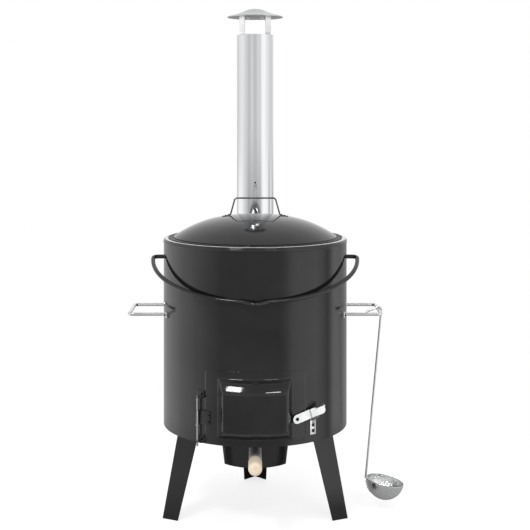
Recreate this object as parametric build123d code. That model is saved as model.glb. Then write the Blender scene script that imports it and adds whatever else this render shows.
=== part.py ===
from build123d import *
from math import acos, asin, cos, degrees, hypot, radians, sin, sqrt, tan
import os

# Free-standing outdoor kettle stove, wood fired, with a lift-out pot.
# Lengths are millimetres. The floor is Z = 0 under the drum axis.
# Front is -Y, right is +X. Azimuths are degrees from the front, positive to the right.

# Gaps that mating pieces share
seat_gap = 0.3
pin_gap = 0.05
slip_gap = 0.4
sink = 0.6
cut_margin = 20.0

# Drum
drum_radius = 225.0
drum_sheet = 1.2
drum_inner = drum_radius - drum_sheet
drum_bottom = 213.0
drum_height = 447.0
drum_top = drum_bottom + drum_height
plate_sheet = 2.0
plate_top = drum_bottom + plate_sheet
ash_hole_radius = 66.0

# Rim ring
rim_height = 6.0
rim_top = drum_top + rim_height
rim_sheet = 2.0
rim_width = 25.0
rim_inner = drum_radius - rim_width
rim_round = 4.0

# Fire door, concentric with the drum and a seat gap proud of it
opening_azimuth = 31.0
opening_sill = 9.0
opening_height = 162.0
opening_low = drum_bottom + opening_sill
opening_high = opening_low + opening_height
opening_round = 9.0
door_seam = 1.2
door_seam_angle = degrees(door_seam / drum_radius)
door_azimuth = opening_azimuth - door_seam_angle
door_low = opening_low + door_seam
door_high = opening_high - door_seam
door_round = opening_round - door_seam
door_sheet = 1.2
door_inner = drum_inner + seat_gap
door_outer = door_inner + door_sheet

# Hollow box pressed out of the door, and the frame that the door closes against
box_depth = 25.0
box_radius = drum_radius + box_depth
box_foot_azimuth = 21.9
box_face_azimuth = 17.1
box_low_margin = 7.3
box_high_margin = 15.0
box_low_slope = 20.1
box_high_slope = 24.0
box_foot_low = opening_low + box_low_margin
box_foot_high = opening_high - box_high_margin
box_face_low = box_foot_low + box_low_slope
box_face_high = box_foot_high - box_high_slope
box_round = 7.0
stop_sheet = 2.2
stop_lap_low = 6.0
stop_lap_wall = 5.0
stop_lap_side = 2.0
stop_lap_door = 9.4
stop_azimuth_outer = opening_azimuth + degrees(stop_lap_side / drum_inner)
stop_azimuth_inner = opening_azimuth - degrees(stop_lap_door / drum_inner)

# Door hinge
pin_standoff = 7.0
pin_axis_radius = drum_radius + pin_standoff
pin_azimuth = -34.9
pin_radius = 2.25
pin_head_radius = 3.6
pin_head_height = 2.2
collar_radius = 4.2
collar_height = 3.0
knuckle_radius = 4.6
knuckle_rise = 35.0
knuckle_length = 31.0
knuckle_low = opening_low + knuckle_rise
knuckle_high = knuckle_low + knuckle_length
leaf_sheet = 2.4
leaf_azimuth_end = -27.2
leaf_rivet_azimuth = -27.9
leaf_rivet_inset = 7.5
lug_sheet = 2.2
lug_azimuths = (-36.3, -31.3)
lug_reach = pin_axis_radius + knuckle_radius
lug_flange = 13.0
lug_rise = 3.0
lug_spacing = 102.0
lower_lug_low = drum_bottom + lug_rise
upper_lug_low = lower_lug_low + lug_spacing
lug_rivet_azimuth = -32.7
pin_tail = 10.0
pin_low = lower_lug_low - pin_tail

# Latch
lever_azimuth = 24.8
lever_rise = 50.5
lever_height = opening_low + lever_rise
lever_half_width = 10.5
lever_length = 73.0
lever_sheet = 2.0
lever_standoff = 2.7
lever_tilt = 15.0
lever_fold = 34.0
lever_fold_run = 3.0
lever_fold_step = 1.5
lever_round = 8.0
finger_length = 24.0
finger_height = 11.0
catch_azimuth = 36.0
catch_width = 16.5
catch_sheet = 2.0
catch_drop = 41.5
catch_low = lever_height - catch_drop
catch_shelf_from = 36.5
catch_shelf_sheet = 2.5
catch_shelf_reach = 8.6
catch_rivet_rise = 9.0
catch_rivet_spacing = 13.0

# Rivets, drawn once and scaled by a share
rivet_head_radius = 4.0
rivet_head_height = 2.2
rivet_edge = 0.6
rivet_shank_radius = 2.0
rivet_tail_radius = 3.2
rivet_tail_height = 1.2
small_rivet_share = 0.62

# Pot
pot_clearance = 4.0
pot_radius = rim_inner - pot_clearance
pot_sheet = 1.2
pot_inner = pot_radius - pot_sheet
pot_flange_lap = 14.0
pot_flange_radius = rim_inner + pot_flange_lap
pot_seat = rim_top + seat_gap
pot_depth = 200.3
pot_low = pot_seat - pot_depth
pot_round = 45.0
pot_flange_round = 3.0
pot_flange_skirt = 2.5
pot_join = pot_seat - pot_flange_skirt

# Bail, sprung into two bushes inside the drum wall and leaning on the drum's front
bail_radius = 5.0
bail_drop = 42.4
bail_height = drum_top - bail_drop
bail_clearance = 26.0
bail_side = drum_radius + bail_clearance
bail_droop = 18.0
bail_lean_gap = 0.44
bail_reach = (drum_radius + bail_radius + bail_lean_gap) / cos(radians(bail_droop))
bail_peak_rise = 13.2
bail_peak = bail_reach + bail_peak_rise
bail_peak_half_width = 29.0
bail_corner = 10.0
bail_peak_corner = 16.0
bush_radius = 9.0
bush_length = 8.0
bush_face = drum_inner - bush_length
bail_head_radius = 7.5
bail_head_sheet = 2.5
bail_end = bush_face - seat_gap - bail_head_sheet

# Lid
lid_inset = 14.0
lid_radius = pot_flange_radius - lid_inset
lid_low = pot_seat + pot_sheet + seat_gap
lid_sheet = 1.0
lid_rise = 52.7
lid_power = 2.6
lid_steps = 10
lid_skirt_gap = 2.8
lid_skirt_radius = pot_inner - lid_skirt_gap
lid_skirt_depth = 8.0
lid_skirt_slack = 0.1

# Lid handle
wire_radius = 2.0
wire_rise = 40.5
wire_top = lid_low + lid_sheet + lid_rise + wire_rise
wire_top_half = 49.6
wire_foot_half = 61.0
wire_corner = 7.0
pad_centre = 72.0
pad_length = 19.0
pad_width = 9.0
pad_sheet = 1.6
wire_pad_lap = 5.0

# Side handles, a rod on two pads each, bolted beside the rod
handle_rise = 274.4
handle_height = drum_bottom + handle_rise
handle_half_span = 68.8
handle_reach = 78.5
handle_outer = drum_radius + handle_reach
handle_radius = 4.0
handle_corner = 10.0
handle_pad_height = 12.6
handle_pad_sheet = 4.0
handle_pad_lap = 5.7
handle_pad_length = 25.0
handle_bolt_offset = 9.35
handle_bolt_share = 1.15
handle_weld_radius = drum_radius + handle_pad_sheet / 2
handle_azimuth = degrees(acos(handle_half_span / handle_weld_radius))
handle_bolt_azimuth = handle_azimuth - degrees(handle_bolt_offset / drum_radius)

# Flue and chimney
chimney_radius = 50.0
chimney_sheet = 1.2
chimney_bore = chimney_radius - chimney_sheet
flue_drop = 100.0
flue_height = drum_top - flue_drop
flue_radius = chimney_bore - slip_gap
flue_sheet = 1.2
flue_hole_gap = 4.5
flue_hole_radius = flue_radius + flue_hole_gap
flue_inset = 12.0
flue_stub = 7.0
flue_bend = 68.0
flue_start = drum_radius - flue_inset
flue_stub_end = drum_radius + flue_stub
flue_flange_sheet = 2.0
flue_flange_width = 17.6
flue_flange_radius = flue_radius + flue_flange_width
flue_rivet_inset = 8.5
chimney_y = flue_stub_end + flue_bend
bead_rise = 76.0
bead_height = 4.0
bead_lip = 1.5
bead_radius = chimney_radius + bead_lip
bead_low = flue_height + bead_rise
bead_high = bead_low + bead_height
spigot_length = 32.0
spigot_top = bead_high + spigot_length
chimney_low = bead_high + seat_gap
chimney_length = 545.7
chimney_top = chimney_low + chimney_length
chimney_rivet_rise = 144.7

# Rain cap, its outline as shares of its radius and of its rise above the edge
cap_radius = 76.0
cap_gap = 50.0
cap_edge = chimney_top + cap_gap
cap_rise = 22.0
cap_lip = 2.0
cap_sheet = 1.0
cap_outline_shares = ((0.0, 1.0), (0.079, 1.0), (0.283, 0.855), (0.579, 0.423), (1.0, 0.0))
strut_width = 20.0
strut_sheet = 1.2
strut_depth = 46.0
strut_step_rise = 7.0
strut_foot_inner = 27.0
strut_rivet_inset = 10.0
strut_azimuths = (45.0, 135.0, 225.0, 315.0)

# Fire grate
grate_lap = 9.0
grate_radius = ash_hole_radius + grate_lap
grate_thickness = 6.0
grate_slot_width = 8.0
grate_slot_pitch = 16.0
grate_rim = 13.0
grate_slot_count = 7

# Ash cup with bowed front and back and two flat sides, and its bayonet hooks
cup_margin = 38.0
cup_taper = 6.0
cup_bow_offset = 21.5
cup_flat_inset = 19.3
cup_flat_taper = 10.1
cup_flange_width = 9.0
cup_top_radius = ash_hole_radius + cup_margin
cup_bottom_radius = cup_top_radius - cup_taper
cup_top_half = cup_top_radius - cup_flat_inset
cup_bottom_half = cup_top_half - cup_flat_taper
cup_bottom_front = cup_bottom_radius - cup_bow_offset
cup_corner_depth = sqrt(cup_top_radius**2 - cup_top_half**2) - cup_bow_offset
cup_flange_radius = hypot(cup_top_half, cup_corner_depth) + cup_flange_width
cup_drop = 10.0
cup_depth = 84.0
cup_flange_low = drum_bottom - cup_drop
cup_low = cup_flange_low - cup_depth
cup_sheet = 1.5
cup_turn = 40.0
hook_azimuths = (60.0, 180.0, 300.0)
hook_half_angle = 4.5
hook_notch_half_angle = 6.5
hook_lap = 6.0
hook_gap = 3.0
hook_wall_sheet = 3.0
hook_sheet = 2.5
hook_inner = cup_flange_radius - hook_lap
hook_wall_inner = cup_flange_radius + hook_gap
hook_wall_outer = hook_wall_inner + hook_wall_sheet
hook_notch_gap = 1.0
notch_inner = hook_inner - hook_notch_gap

# Ash handle
stem_radius = 14.7
stem_wall = 1.6
stem_bore = stem_radius - stem_wall
stem_rise = 58.0
stem_height = cup_low + stem_rise
stem_length = 144.0
stem_end = cup_bottom_front + stem_length
stem_cap = 2.0
wood_radius = 15.6
wood_length = 53.5
wood_end = stem_end + wood_length
wood_round = 10.5
wood_back_round = 1.5
screw_radius = 3.0
screw_depth = 33.0
screw_head_radius = 6.0
screw_head_height = 4.0

# Legs
leg_azimuth = 70.4
leg_azimuths = {"leg_left": -leg_azimuth, "leg_right": leg_azimuth, "leg_rear": 180}
leg_inset = 29.6
leg_splay = 40.5
leg_top_radius = drum_radius - leg_inset
leg_foot_radius = leg_top_radius + leg_splay
leg_foot_flange = 41.5
leg_top_flange = 55.8
leg_sheet = 2.5
leg_bolt_inset = 24.0
bolt_radius = 4.0
bolt_head_radius = 7.5
bolt_head_height = 5.0
nut_height = 6.5

# Ladle, hooked over the right handle
ladle_y = -8.0
ladle_bowl_radius = 46.0
ladle_bowl_sheet = 1.2
ladle_bowl_reach = 16.5
ladle_bowl_drop = 419.4
ladle_bowl_x = handle_outer + ladle_bowl_reach
ladle_bowl_z = handle_height - ladle_bowl_drop
ladle_tilt = 11.0
ladle_rod_radius = 2.5
ladle_rod_lift = 1.0
ladle_rod_drop = 3.0
ladle_tail_length = 31.0
ladle_tail_slope = 22.6
ladle_strap_width = 14.0
ladle_strap_sheet = 1.6
ladle_strap_depth = 34.0
ladle_strap_inner = 20.0
ladle_strap_radius = ladle_bowl_radius + ladle_strap_sheet
ladle_rivet_angles = (14.0, 31.0)


# Placing and shaping helpers
def polar(radius, azimuth):
    return (radius * sin(radians(azimuth)), -radius * cos(radians(azimuth)))


def wall_place(azimuth, height, radius):
    x, y = polar(radius, azimuth)
    across = (cos(radians(azimuth)), sin(radians(azimuth)), 0)
    outward = (sin(radians(azimuth)), -cos(radians(azimuth)), 0)
    return Plane(origin=(x, y, height), x_dir=across, z_dir=outward).location


def outline(points):
    return make_face(Polyline(*points, close=True))


def turned(face, angle=360.0):
    return revolve(Plane.XZ * face, Axis.Z, angle)


def sector(inner, outer, low, high, start, end):
    face = outline([(inner, low), (outer, low), (outer, high), (inner, high)])
    return Rot(0, 0, start - 90) * turned(face, end - start)


def rounded(face, corner, radius):
    target = Vector(*corner)
    nearest = min(face.vertices(), key=lambda vertex: (Vector(*vertex) - target).length)
    return fillet(nearest, radius)


def sheet_face(points, sheet):
    line = [Vector(*point) for point in points]
    runs = [(end - start).normalized() for start, end in zip(line, line[1:])]
    normals = [Vector(-run.Y, run.X) for run in runs]
    far = [line[0] + normals[0] * sheet]
    for corner, before, after in zip(line[1:], normals, normals[1:]):
        middle = (before + after).normalized()
        far.append(corner + middle * (sheet / middle.dot(before)))
    far.append(line[-1] + normals[-1] * sheet)
    return outline(line + far[::-1])


def bent_path(points, radii):
    corners = [Vector(*point) for point in points]
    edges = []
    start = corners[0]
    for before, corner, after, radius in zip(corners, corners[1:], corners[2:], radii):
        back = (before - corner).normalized()
        ahead = (after - corner).normalized()
        half = radians(back.get_angle(ahead)) / 2
        entry = corner + back * (radius / tan(half))
        leave = corner + ahead * (radius / tan(half))
        middle = corner + (back + ahead).normalized() * (radius / sin(half) - radius)
        edges += [Line(start, entry), ThreePointArc(entry, middle, leave)]
        start = leave
    edges.append(Line(start, corners[-1]))
    return Wire([edge.edge() for edge in edges])


def rod(path, radius):
    section = Plane(origin=path @ 0, z_dir=path % 0) * Circle(radius)
    return sweep(section, path=path)


def bar(radius, start, end):
    return Pos(0, 0, start) * Cylinder(radius, end - start, align=(Align.CENTER, Align.CENTER, Align.MIN))


def along_x(shape):
    return Pos(0, 0, bail_height) * Rot(0, 90, 0) * shape


def drum_core(radius):
    return bar(radius, -cut_margin, drum_top + cut_margin)


def dome(radius, height, edge, depth):
    rise = height - edge
    ball = (radius**2 + rise**2) / (2 * rise)
    half = asin(radius / ball) / 2
    middle = (ball * sin(half), height - ball + ball * cos(half))
    lines = Polyline((0, height), (0, -depth), (radius, -depth), (radius, edge))
    return turned(make_face(lines.edges() + [ThreePointArc((radius, edge), middle, (0, height)).edge()]))


def rivet(place, grip, covered=None, hollow=None, share=1.0):
    depth = sink if covered else 0
    head = dome(rivet_head_radius * share, rivet_head_height * share, rivet_edge * share, depth)
    tail_sink = sink if hollow else 0
    tail = bar(rivet_tail_radius * share, -grip - rivet_tail_height * share, tail_sink - grip)
    shank = bar(rivet_shank_radius * share, -grip - rivet_tail_height * share / 2, rivet_edge * share)
    head = place * head
    tail = place * tail
    if covered:
        head -= covered
    if hollow:
        tail &= hollow
    return head + place * shank + tail


def rivet_hole(place, share=1.0):
    return place * bar(rivet_shank_radius * share, -cut_margin, cut_margin)


def group(shapes):
    return Compound(children=[solid for shape in shapes for solid in shape.solids()])


# Places of everything that goes through the drum wall
def lug_rivet_places():
    radius = drum_radius + catch_sheet
    heights = [upper_lug_low + lug_sheet + lug_flange / 2, lower_lug_low + lug_sheet + lug_flange / 2]
    return [wall_place(lug_rivet_azimuth, height, radius) for height in heights]


def catch_rivet_places():
    radius = drum_radius + catch_sheet
    low = catch_low + catch_rivet_rise
    return [wall_place(catch_azimuth, height, radius) for height in (low, low + catch_rivet_spacing)]


def handle_bolt_places(side):
    radius = drum_radius + handle_pad_sheet
    azimuths = [side * handle_bolt_azimuth, side * (180 - handle_bolt_azimuth)]
    return [wall_place(azimuth, handle_height, radius) for azimuth in azimuths]


def flue_rivet_places():
    offset = (flue_flange_radius - flue_rivet_inset) / sqrt(2)
    turn = degrees(offset / drum_radius)
    radius = drum_radius + flue_flange_sheet
    corners = [(a, b) for a in (-1, 1) for b in (-1, 1)]
    return [wall_place(180 + a * turn, flue_height + b * offset, radius) for a, b in corners]


# Drum
def rounded_sector(inner, outer, low, high, azimuth, radius):
    form = sector(inner, outer, low, high, -azimuth, azimuth)
    span = outer - inner
    corners = form.edges().filter_by(GeomType.LINE)
    corners = [edge for edge in corners if abs(edge.length - span) < span / 4]
    return fillet(corners, radius)


def drum_shell():
    wall = turned(outline([
        (drum_inner, drum_bottom),
        (drum_radius, drum_bottom),
        (drum_radius, drum_top),
        (drum_inner, drum_top),
    ]))
    span = (drum_inner - cut_margin / 2, drum_radius + cut_margin / 2)
    wall -= rounded_sector(*span, opening_low, opening_high, opening_azimuth, opening_round)
    wall -= along_x(bar(bail_radius + slip_gap, -drum_radius - cut_margin, drum_radius + cut_margin))
    wall -= along_y(bar(flue_hole_radius, flue_start - cut_margin, flue_stub_end))
    small = lug_rivet_places() + catch_rivet_places() + flue_rivet_places()
    for place in small:
        wall -= rivet_hole(place)
    for place in handle_bolt_places(1) + handle_bolt_places(-1):
        wall -= rivet_hole(place, handle_bolt_share)
    return wall


def leg_bolt_place(azimuth):
    x, y = polar(leg_top_radius - leg_bolt_inset, azimuth)
    return Pos(x, y, drum_bottom)


def drum_bottom_plate():
    plate = bar(drum_inner, drum_bottom, plate_top) - bar(ash_hole_radius, 0, drum_top)
    for azimuth in leg_azimuths.values():
        plate -= leg_bolt_place(azimuth) * bar(bolt_radius, -cut_margin, cut_margin)
    return plate


def rim_ring():
    skirt = drum_radius - rim_sheet
    face = outline([
        (drum_radius, drum_top),
        (drum_radius, rim_top),
        (rim_inner, rim_top),
        (rim_inner, rim_top - rim_sheet),
        (skirt, rim_top - rim_sheet),
        (skirt, drum_top),
    ])
    face = rounded(face, (drum_radius, rim_top), rim_round)
    face = rounded(face, (skirt, rim_top - rim_sheet), rim_round - rim_sheet)
    return turned(face)


def door_stop_frame():
    inner = drum_inner - stop_sheet
    low = plate_top + (opening_low - plate_top) / 4
    high = opening_high + stop_lap_wall
    frame = sector(inner, drum_inner, low, high, -stop_azimuth_outer, stop_azimuth_outer)
    span = (inner - cut_margin / 4, drum_inner + cut_margin / 4)
    window = (opening_low + stop_lap_low, opening_high - stop_lap_low)
    return frame - sector(*span, *window, -stop_azimuth_inner, stop_azimuth_inner)


def bail_bushes():
    bush = bar(bush_radius, bush_face, drum_radius) - bar(bail_radius + pin_gap, 0, drum_radius)
    bush = along_x(bush) & drum_core(drum_inner)
    return group([bush, mirror(bush, Plane.YZ)])


def fire_grate():
    grate = bar(grate_radius, plate_top, plate_top + grate_thickness)
    for index in range(grate_slot_count):
        x = (index - (grate_slot_count - 1) / 2) * grate_slot_pitch
        length = 2 * sqrt((grate_radius - grate_rim) ** 2 - x**2)
        slot = extrude(SlotOverall(length, grate_slot_width), grate_thickness)
        grate -= Pos(x, 0, plate_top) * Rot(0, 0, 90) * slot
    return grate


# Legs
def leg_section(radius, flange, height):
    run = flange / sqrt(2)
    wall = leg_sheet / sqrt(2)
    points = [
        (0, -radius),
        (run, run - radius),
        (run - wall, run + wall - radius),
        (0, 2 * wall - radius),
        (wall - run, run + wall - radius),
        (-run, run - radius),
    ]
    return Pos(0, 0, height) * outline(points)


def leg(azimuth):
    foot = leg_section(leg_foot_radius, leg_foot_flange, 0)
    top = leg_section(leg_top_radius, leg_top_flange, drum_bottom)
    angle = loft([foot, top], ruled=True)
    ridge = leg_sheet / sqrt(2) - leg_top_radius
    run = (leg_top_flange - leg_sheet) / sqrt(2)
    pad = extrude(outline([(0, ridge), (run, ridge + run), (-run, ridge + run)]), leg_sheet)
    body = angle + Pos(0, 0, drum_bottom - leg_sheet) * pad
    body -= leg_bolt_place(0) * bar(bolt_radius, -cut_margin, cut_margin)
    return Rot(0, 0, azimuth) * body


def leg_bolts():
    hexagon = RegularPolygon(bolt_head_radius, 6)
    head = Pos(0, 0, -leg_sheet - bolt_head_height) * extrude(hexagon, bolt_head_height)
    nut = Pos(0, 0, plate_sheet) * extrude(hexagon, nut_height)
    shank = bar(bolt_radius, -leg_sheet - bolt_head_height / 2, plate_sheet + nut_height)
    bolt = head + nut + shank
    return group([leg_bolt_place(azimuth) * bolt for azimuth in leg_azimuths.values()])


# Door
def box_form(shrink, back_radius):
    rise = box_radius - door_outer
    face_radius = box_radius - shrink
    low_slope = (box_face_low - box_foot_low) / rise
    high_slope = (box_foot_high - box_face_high) / rise
    low = box_foot_low + shrink * hypot(1, low_slope)
    high = box_foot_high - shrink * hypot(1, high_slope)
    back = back_radius - door_outer
    front = face_radius - door_outer
    ring = sector_profile([
        (back_radius, low + back * low_slope),
        (face_radius, low + front * low_slope),
        (face_radius, high - front * high_slope),
        (back_radius, high - back * high_slope),
    ], opening_azimuth)
    foot = Vector(*polar(door_outer, box_foot_azimuth))
    face = Vector(*polar(box_radius, box_face_azimuth))
    along = (face - foot).normalized()
    inward = Vector(along.Y, -along.X)
    if inward.X > 0:
        inward = inward * -1
    near = foot + inward * shrink - along * rise
    far = face + inward * shrink + along * rise
    plan = outline([(near.X, near.Y), (far.X, far.Y), (-far.X, far.Y), (-near.X, near.Y)])
    form = ring & (Pos(0, 0, box_foot_low - rise) * extrude(plan, box_foot_high - box_foot_low + 2 * rise))
    form = form.solids()[0]
    edges = []
    for edge in form.edges():
        middle = edge.position_at(0.5)
        if hypot(middle.X, middle.Y) > back_radius + sink / 2:
            edges.append(edge)
    return fillet(edges, box_round - shrink)


def sector_profile(points, azimuth):
    return Rot(0, 0, -azimuth - 90) * turned(outline(points), 2 * azimuth)


def door_panel():
    panel = rounded_sector(door_inner, door_outer, door_low, door_high, door_azimuth, door_round)
    panel += box_form(0, door_inner + door_sheet / 2)
    panel -= box_form(door_sheet, door_inner - door_sheet)
    for place in leaf_rivet_places():
        panel -= rivet_hole(place, small_rivet_share)
    return panel - rivet_hole(lever_place())


def leaf_rivet_places():
    radius = door_outer + leaf_sheet
    heights = [knuckle_low + leaf_rivet_inset, knuckle_high - leaf_rivet_inset]
    return [wall_place(leaf_rivet_azimuth, height, radius) for height in heights]


def pin_place():
    x, y = polar(pin_axis_radius, pin_azimuth)
    return Pos(x, y, 0)


def door_knuckle():
    span = (knuckle_low, knuckle_high)
    leaf = sector(door_outer, door_outer + leaf_sheet, *span, pin_azimuth, leaf_azimuth_end)
    body = leaf + pin_place() * bar(knuckle_radius, *span)
    body -= pin_place() * bar(pin_radius + pin_gap, 0, drum_top)
    for place in leaf_rivet_places():
        body -= rivet_hole(place, small_rivet_share)
    return body


def knuckle_rivets():
    covered = drum_core(door_outer + leaf_sheet)
    grip = leaf_sheet + door_sheet
    rest = (grip, covered, drum_core(door_inner), small_rivet_share)
    return group([rivet(place, *rest) for place in leaf_rivet_places()])


def hinge_lug(low, rivet_place):
    tab = sector(drum_radius, lug_reach, low, low + lug_sheet, *lug_azimuths)
    flange_top = low + lug_sheet + lug_flange
    flange = sector(drum_radius, drum_radius + catch_sheet, low, flange_top, *lug_azimuths)
    hole = pin_place() * bar(pin_radius, 0, drum_top)
    return tab + flange - hole - rivet_hole(rivet_place)


def hinge_pin():
    top = upper_lug_low + lug_sheet
    pin = bar(pin_radius, pin_low, top)
    head = Pos(0, 0, top) * dome(pin_head_radius, pin_head_height, rivet_edge, 0)
    collar_top = knuckle_low - seat_gap
    collar = bar(collar_radius, collar_top - collar_height, collar_top)
    return pin_place() * (pin + head + collar)


def wall_rivets(places, sheet):
    covered = drum_core(drum_radius + sheet)
    return group([rivet(place, sheet + drum_sheet, covered, drum_core(drum_inner)) for place in places])


# Latch, drawn flat on the tangent plane at its pivot
def lever_place():
    return wall_place(lever_azimuth, lever_height, door_outer) * Rot(0, 0, lever_tilt)


def latch_lever():
    half = lever_half_width
    step = lever_fold_step
    blade = outline([(0, half), (0, -half), (lever_length, -half), (lever_length, half)])
    blade = rounded(blade, (lever_length, -half), lever_round)
    blade = rounded(blade, (lever_length, half), lever_sheet)
    blade += Circle(half)
    side = sheet_face([
        (-half - lever_sheet, lever_standoff),
        (lever_fold, lever_standoff),
        (lever_fold + lever_fold_run, lever_standoff + step),
        (lever_length + lever_sheet, lever_standoff + step),
    ], lever_sheet)
    across = Plane.XZ.offset(-half - lever_sheet) * side
    body = extrude(blade, lever_standoff + step + 2 * lever_sheet)
    body = body & extrude(across, 2 * (half + lever_sheet))
    finger_from = lever_length - finger_length
    finger = Box(finger_length - lever_sheet, lever_sheet, finger_height, align=Align.MIN)
    body += Pos(finger_from, half - lever_sheet, lever_standoff + step) * finger
    body -= bar(rivet_shank_radius + pin_gap, -cut_margin, cut_margin)
    return lever_place() * body


def latch_rivet():
    lift = lever_standoff + lever_sheet + seat_gap
    head = Pos(0, 0, lift) * dome(rivet_head_radius, rivet_head_height, rivet_edge, 0)
    shank = bar(rivet_shank_radius, -door_sheet - rivet_tail_height / 2, lift + rivet_edge)
    spacer = bar(rivet_head_radius, -sink, lever_standoff - seat_gap)
    tail = bar(rivet_tail_radius, -door_sheet - rivet_tail_height, sink - door_sheet)
    place = lever_place()
    outer = place * spacer - drum_core(door_outer)
    inner = (place * tail) & drum_core(door_inner)
    return place * (head + shank) + outer + inner


def latch_catch():
    half_angle = degrees(catch_width / 2 / drum_radius)
    high = lever_height + lever_length * sin(radians(lever_tilt))
    ends = (catch_azimuth - half_angle, catch_azimuth + half_angle)
    strip = sector(drum_radius, drum_radius + catch_sheet, catch_low, high, *ends)
    top = -lever_half_width - slip_gap
    depth = catch_shelf_reach + cut_margin
    shelf = Box(catch_width, catch_shelf_sheet, depth, align=Align.MIN)
    shelf = Pos(catch_shelf_from, top - catch_shelf_sheet, -cut_margin) * shelf
    above = Box(lever_length, lever_length, 4 * cut_margin, align=(Align.MIN, Align.MIN, Align.CENTER))
    above = Pos(0, top, 0) * above
    place = lever_place()
    body = strip + place * shelf - drum_core(drum_radius) - place * above
    for rivet_place in catch_rivet_places():
        body -= rivet_hole(rivet_place)
    return body


# Side handles
def side_handle(side):
    root = side * sqrt(handle_weld_radius**2 - handle_half_span**2)
    outer = side * handle_outer
    points = [
        (root, -handle_half_span, handle_height),
        (outer, -handle_half_span, handle_height),
        (outer, handle_half_span, handle_height),
        (root, handle_half_span, handle_height),
    ]
    body = rod(bent_path(points, [handle_corner] * 2), handle_radius)
    half = handle_pad_height / 2
    far = handle_azimuth + degrees(handle_pad_lap / drum_radius)
    near = far - degrees(handle_pad_length / drum_radius)
    for ends in [(side * near, side * far), (side * (180 - far), side * (180 - near))]:
        start, end = sorted(ends)
        radii = (drum_radius, drum_radius + handle_pad_sheet)
        body += sector(*radii, handle_height - half, handle_height + half, start, end)
    body -= drum_core(drum_radius)
    for place in handle_bolt_places(side):
        body -= rivet_hole(place, handle_bolt_share)
    return body


def side_handle_bolts():
    covered = drum_core(drum_radius + handle_pad_sheet)
    grip = handle_pad_sheet + drum_sheet
    places = handle_bolt_places(1) + handle_bolt_places(-1)
    hollow = drum_core(drum_inner)
    return group([rivet(place, grip, covered, hollow, handle_bolt_share) for place in places])


# Flue and chimney
def along_y(shape):
    return Pos(0, 0, flue_height) * Rot(-90, 0, 0) * shape


def flue_bore():
    return along_y(bar(flue_radius, flue_start - cut_margin, flue_stub_end))


def flue_collar():
    outer = bar(flue_radius, flue_start, flue_stub_end)
    return along_y(outer - bar(flue_radius - flue_sheet, flue_start, flue_stub_end))


def flue_elbow():
    start = Vector(0, flue_stub_end, flue_height)
    middle = Vector(0, flue_stub_end + flue_bend / sqrt(2), flue_height + flue_bend * (1 - 1 / sqrt(2)))
    end = Vector(0, chimney_y, flue_height + flue_bend)
    path = Wire([ThreePointArc(start, middle, end).edge()])
    return rod(path, flue_radius) - rod(path, flue_radius - flue_sheet)


def flue_spigot():
    low = flue_height + flue_bend
    tube = bar(flue_radius, low, spigot_top) + bar(bead_radius, bead_low, bead_high)
    return Pos(0, chimney_y, 0) * (tube - bar(flue_radius - flue_sheet, low, spigot_top))


def flue_flange():
    disc = along_y(bar(flue_flange_radius, flue_start - cut_margin, flue_stub_end))
    sheet = drum_core(drum_radius + flue_flange_sheet) - drum_core(drum_radius)
    flange = (disc & sheet) - flue_bore()
    for place in flue_rivet_places():
        flange -= rivet_hole(place)
    return flange


def chimney_pipe():
    pipe = bar(chimney_radius, chimney_low, chimney_top)
    pipe -= bar(chimney_bore, 0, chimney_top + cut_margin)
    pipe = Pos(0, chimney_y, 0) * pipe
    return pipe - rivet_hole(chimney_rivet_place(), small_rivet_share)


def chimney_rivet_place():
    return Pos(0, chimney_y, 0) * wall_place(0, chimney_low + chimney_rivet_rise, chimney_radius)


def chimney_rivet():
    covered = Pos(0, chimney_y, 0) * bar(chimney_radius, chimney_low, chimney_top)
    hollow = Pos(0, chimney_y, 0) * bar(chimney_bore, chimney_low, chimney_top)
    return rivet(chimney_rivet_place(), chimney_sheet, covered, hollow, small_rivet_share)


# Rain cap
def rain_cap():
    line = [(cap_radius * out, cap_edge + cap_rise * up) for out, up in cap_outline_shares]
    face = sheet_face([*line, (cap_radius, cap_edge - cap_lip)], -cap_sheet)
    return Pos(0, chimney_y, 0) * turned(face)


def cap_rivet_places(height):
    places = []
    for azimuth in strut_azimuths:
        x, y = polar(strut_foot_inner + strut_rivet_inset, azimuth)
        places.append(Pos(x, chimney_y + y, height) * Rot(180, 0, 0))
    return places


def cap_underplate():
    top = cap_edge - cap_sheet
    plate = Pos(0, chimney_y, 0) * bar(cap_radius - cap_sheet, top - cap_sheet, top)
    for place in cap_rivet_places(top):
        plate -= rivet_hole(place, small_rivet_share)
    return plate


def cap_struts():
    foot = cap_edge - 2 * cap_sheet
    seat = chimney_top + seat_gap - strut_sheet
    inner = sqrt((chimney_bore - slip_gap) ** 2 - (strut_width / 2) ** 2)
    outer = chimney_radius + strut_sheet - slip_gap
    face = sheet_face([
        (inner, chimney_top - strut_depth),
        (inner, seat),
        (outer, seat + strut_step_rise),
        (outer, foot),
        (strut_foot_inner, foot),
    ], strut_sheet)
    strut = extrude(Plane.XZ.offset(-strut_width / 2) * face, strut_width)
    struts = []
    for azimuth in strut_azimuths:
        struts.append(Pos(0, chimney_y, 0) * Rot(0, 0, azimuth - 90) * strut)
    places = cap_rivet_places(foot)
    return group([one - rivet_hole(place, small_rivet_share) for one, place in zip(struts, places)])


def cap_rivets():
    foot = cap_edge - 2 * cap_sheet - strut_sheet
    grip = strut_sheet + cap_sheet
    return group([rivet(place, grip, None, None, small_rivet_share) for place in cap_rivet_places(foot)])


# Ash cup
def bayonet_hooks():
    low = cup_flange_low - seat_gap - hook_sheet
    ends = (-hook_half_angle, hook_half_angle)
    ledge = sector(hook_inner, hook_wall_outer, low, low + hook_sheet, *ends)
    wall = sector(hook_wall_inner, hook_wall_outer, low, drum_bottom, *ends)
    return group([Rot(0, 0, azimuth) * (ledge + wall) for azimuth in hook_azimuths])


def cup_reach(height, bottom, top):
    return bottom + (top - bottom) * (height - cup_low) / cup_depth


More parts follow.
